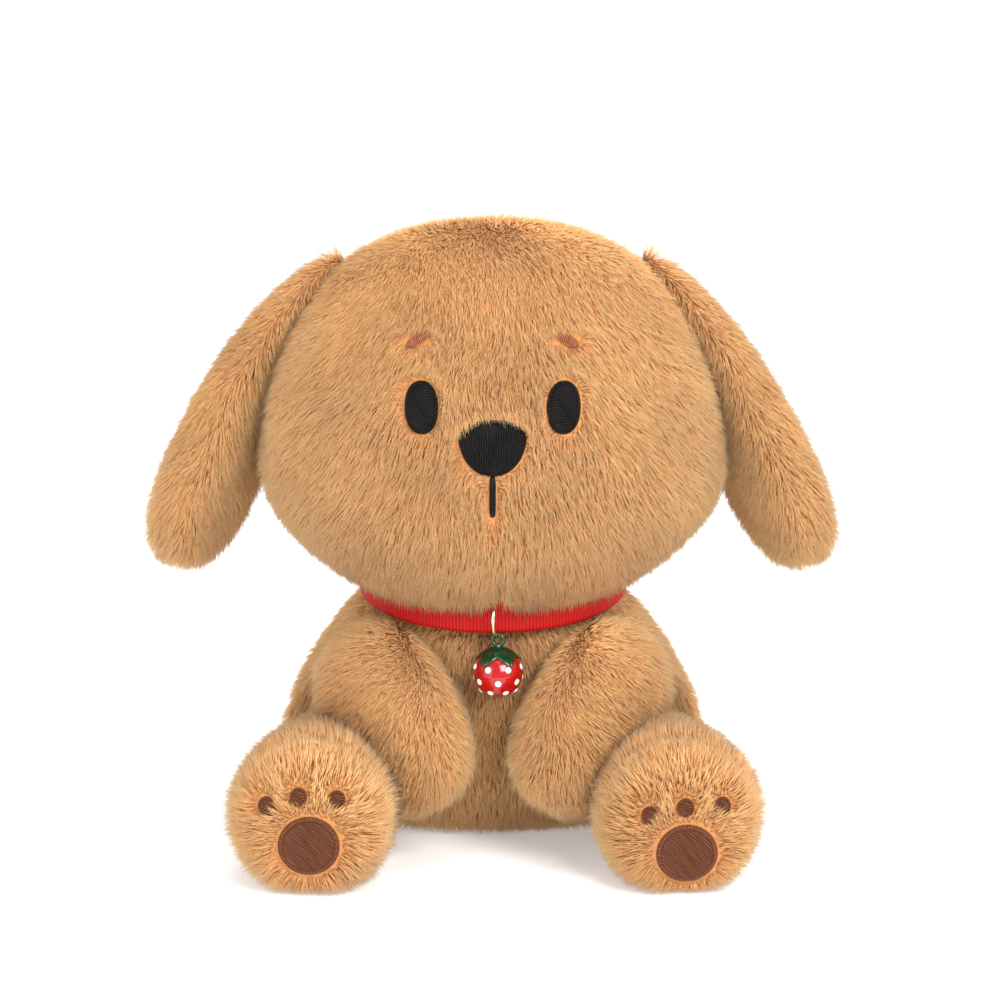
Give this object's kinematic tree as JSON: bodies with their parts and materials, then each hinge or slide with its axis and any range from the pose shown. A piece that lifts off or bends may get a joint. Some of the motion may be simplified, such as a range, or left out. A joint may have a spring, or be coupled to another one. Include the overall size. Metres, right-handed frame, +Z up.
{
  "type": "plush dog",
  "caption": "Seated plush dog with a big soft head, long hanging ears, embroidered face and paw pads, and a red ribbon collar with a strawberry bell.",
  "frame": {"origin": "on the floor under the middle of the toy's outer box", "axes": "+Z up, the dog faces -Y, +X to the side that is on the right when looking at its face"},
  "size_m": [0.1954, 0.1586, 0.1775],
  "materials": {
    "fur": "short dense plush pile, tan with paler tips",
    "stuffing": "white polyester fibre fill",
    "black_thread": "satin stitch embroidery thread",
    "brow_thread": "satin stitch embroidery thread",
    "brown_thread": "satin stitch embroidery thread",
    "ribbon": "ribbed grosgrain weave",
    "ring_metal": "pale gold plating, polished",
    "red_enamel": "glossy red enamel over a pressed brass shell",
    "green_enamel": "glossy dark green enamel",
    "white_enamel": "glossy white raised enamel",
    "pellet_steel": "plain steel ball"
  },
  "bodies": {
    "torso": {"belly_panel": "fur", "back_panel_left": "fur", "back_panel_right": "fur", "seat_panel": "fur", "torso_stuffing": "stuffing"},
    "neck": {"neck_wadding": "stuffing"},
    "head": {"face_left": "fur", "face_right": "fur", "head_back_left": "fur", "head_back_right": "fur", "head_base": "fur", "head_stuffing": "stuffing", "eye_left": "black_thread", "eye_right": "black_thread", "nose_patch": "black_thread", "mouth_line": "black_thread", "brow_left": "brow_thread", "brow_right": "brow_thread"},
    "ear_left": {"ear_left_outer": "fur", "ear_left_lining": "fur", "ear_left_wadding": "stuffing"},
    "ear_right": {"ear_right_outer": "fur", "ear_right_lining": "fur", "ear_right_wadding": "stuffing"},
    "arm_left": {"arm_left_front": "fur", "arm_left_back": "fur", "arm_left_stuffing": "stuffing"},
    "arm_right": {"arm_right_front": "fur", "arm_right_back": "fur", "arm_right_stuffing": "stuffing"},
    "leg_left": {"leg_left_upper": "fur", "leg_left_under": "fur", "leg_left_sole": "fur", "leg_left_stuffing": "stuffing", "sole_pad_left": "brown_thread", "toe_beans_left": "brown_thread"},
    "leg_right": {"leg_right_upper": "fur", "leg_right_under": "fur", "leg_right_sole": "fur", "leg_right_stuffing": "stuffing", "sole_pad_right": "brown_thread", "toe_beans_right": "brown_thread"},
    "tail": {"tail_upper": "fur", "tail_under": "fur", "tail_stuffing": "stuffing"},
    "collar": {"collar_ribbon": "ribbon", "collar_overlap": "ribbon"},
    "ring": {"jump_ring": "ring_metal"},
    "bell": {"bell_shell": "red_enamel", "leaf_cap": "green_enamel", "hanging_loop": "ring_metal", "seed_dots": "white_enamel"},
    "pellet": {"bell_pellet": "pellet_steel"}
  },
  "joints": [
    {"name": "head_turn", "type": "hinge", "parent": "torso", "child": "neck", "pos_m": [0, 0.0067, 0.072], "axis": [0, 0, 1], "range_deg": [-20, 20], "stiffness_Nm_per_rad": 0.25},
    {"name": "head_nod", "type": "hinge", "parent": "neck", "child": "head", "pos_m": [0, 0.0067, 0.072], "axis": [1, 0, 0], "range_deg": [-3, 2.5], "stiffness_Nm_per_rad": 2},
    {"name": "ear_left_flap", "type": "hinge", "parent": "head", "child": "ear_left", "pos_m": [-0.04418, 0.00669, 0.16858], "axis": [0, 1, 0], "range_deg": [0, 45], "stiffness_Nm_per_rad": 0.01},
    {"name": "ear_right_flap", "type": "hinge", "parent": "head", "child": "ear_right", "pos_m": [0.04418, 0.00669, 0.16858], "axis": [0, -1, 0], "range_deg": [0, 45], "stiffness_Nm_per_rad": 0.01},
    {"name": "arm_left_swing", "type": "hinge", "parent": "torso", "child": "arm_left", "pos_m": [-0.031, -0.0133, 0.046], "axis": [-1, 0, 0], "range_deg": [0, 8], "stiffness_Nm_per_rad": 0.04},
    {"name": "arm_right_swing", "type": "hinge", "parent": "torso", "child": "arm_right", "pos_m": [0.031, -0.0133, 0.046], "axis": [-1, 0, 0], "range_deg": [0, 8], "stiffness_Nm_per_rad": 0.04},
    {"name": "leg_left_spread", "type": "hinge", "parent": "torso", "child": "leg_left", "pos_m": [-0.032, 0.0107, 0.0246], "axis": [0, 0, -1], "range_deg": [0, 15], "stiffness_Nm_per_rad": 0.3},
    {"name": "leg_right_spread", "type": "hinge", "parent": "torso", "child": "leg_right", "pos_m": [0.032, 0.0107, 0.0246], "axis": [0, 0, 1], "range_deg": [0, 15], "stiffness_Nm_per_rad": 0.3},
    {"name": "tail_wag", "type": "hinge", "parent": "torso", "child": "tail", "pos_m": [0, 0.0517, 0.015], "axis": [0, 0, 1], "range_deg": [-20, 20], "stiffness_Nm_per_rad": 0.01},
    {"name": "collar_turn", "type": "hinge", "parent": "torso", "child": "collar", "pos_m": [0, 0.0067, 0.0744], "axis": [0, -0.1392, 0.9903], "range_deg": [-4, 0.3]},
    {"name": "ring_swing", "type": "hinge", "parent": "collar", "child": "ring", "pos_m": [0.0015, -0.03292, 0.069], "axis": [-0.9659, -0.2588, 0], "range_deg": [0, 14]},
    {"name": "bell_swing", "type": "hinge", "parent": "ring", "child": "bell", "pos_m": [0.0015, -0.03292, 0.06345], "axis": [0.2588, -0.9659, 0], "range_deg": [-8, 1]},
    {"name": "pellet_rattle", "type": "slide", "parent": "bell", "child": "pellet", "axis": [0, 0, 1], "range_m": [0, 0.0078]}
  ]
}
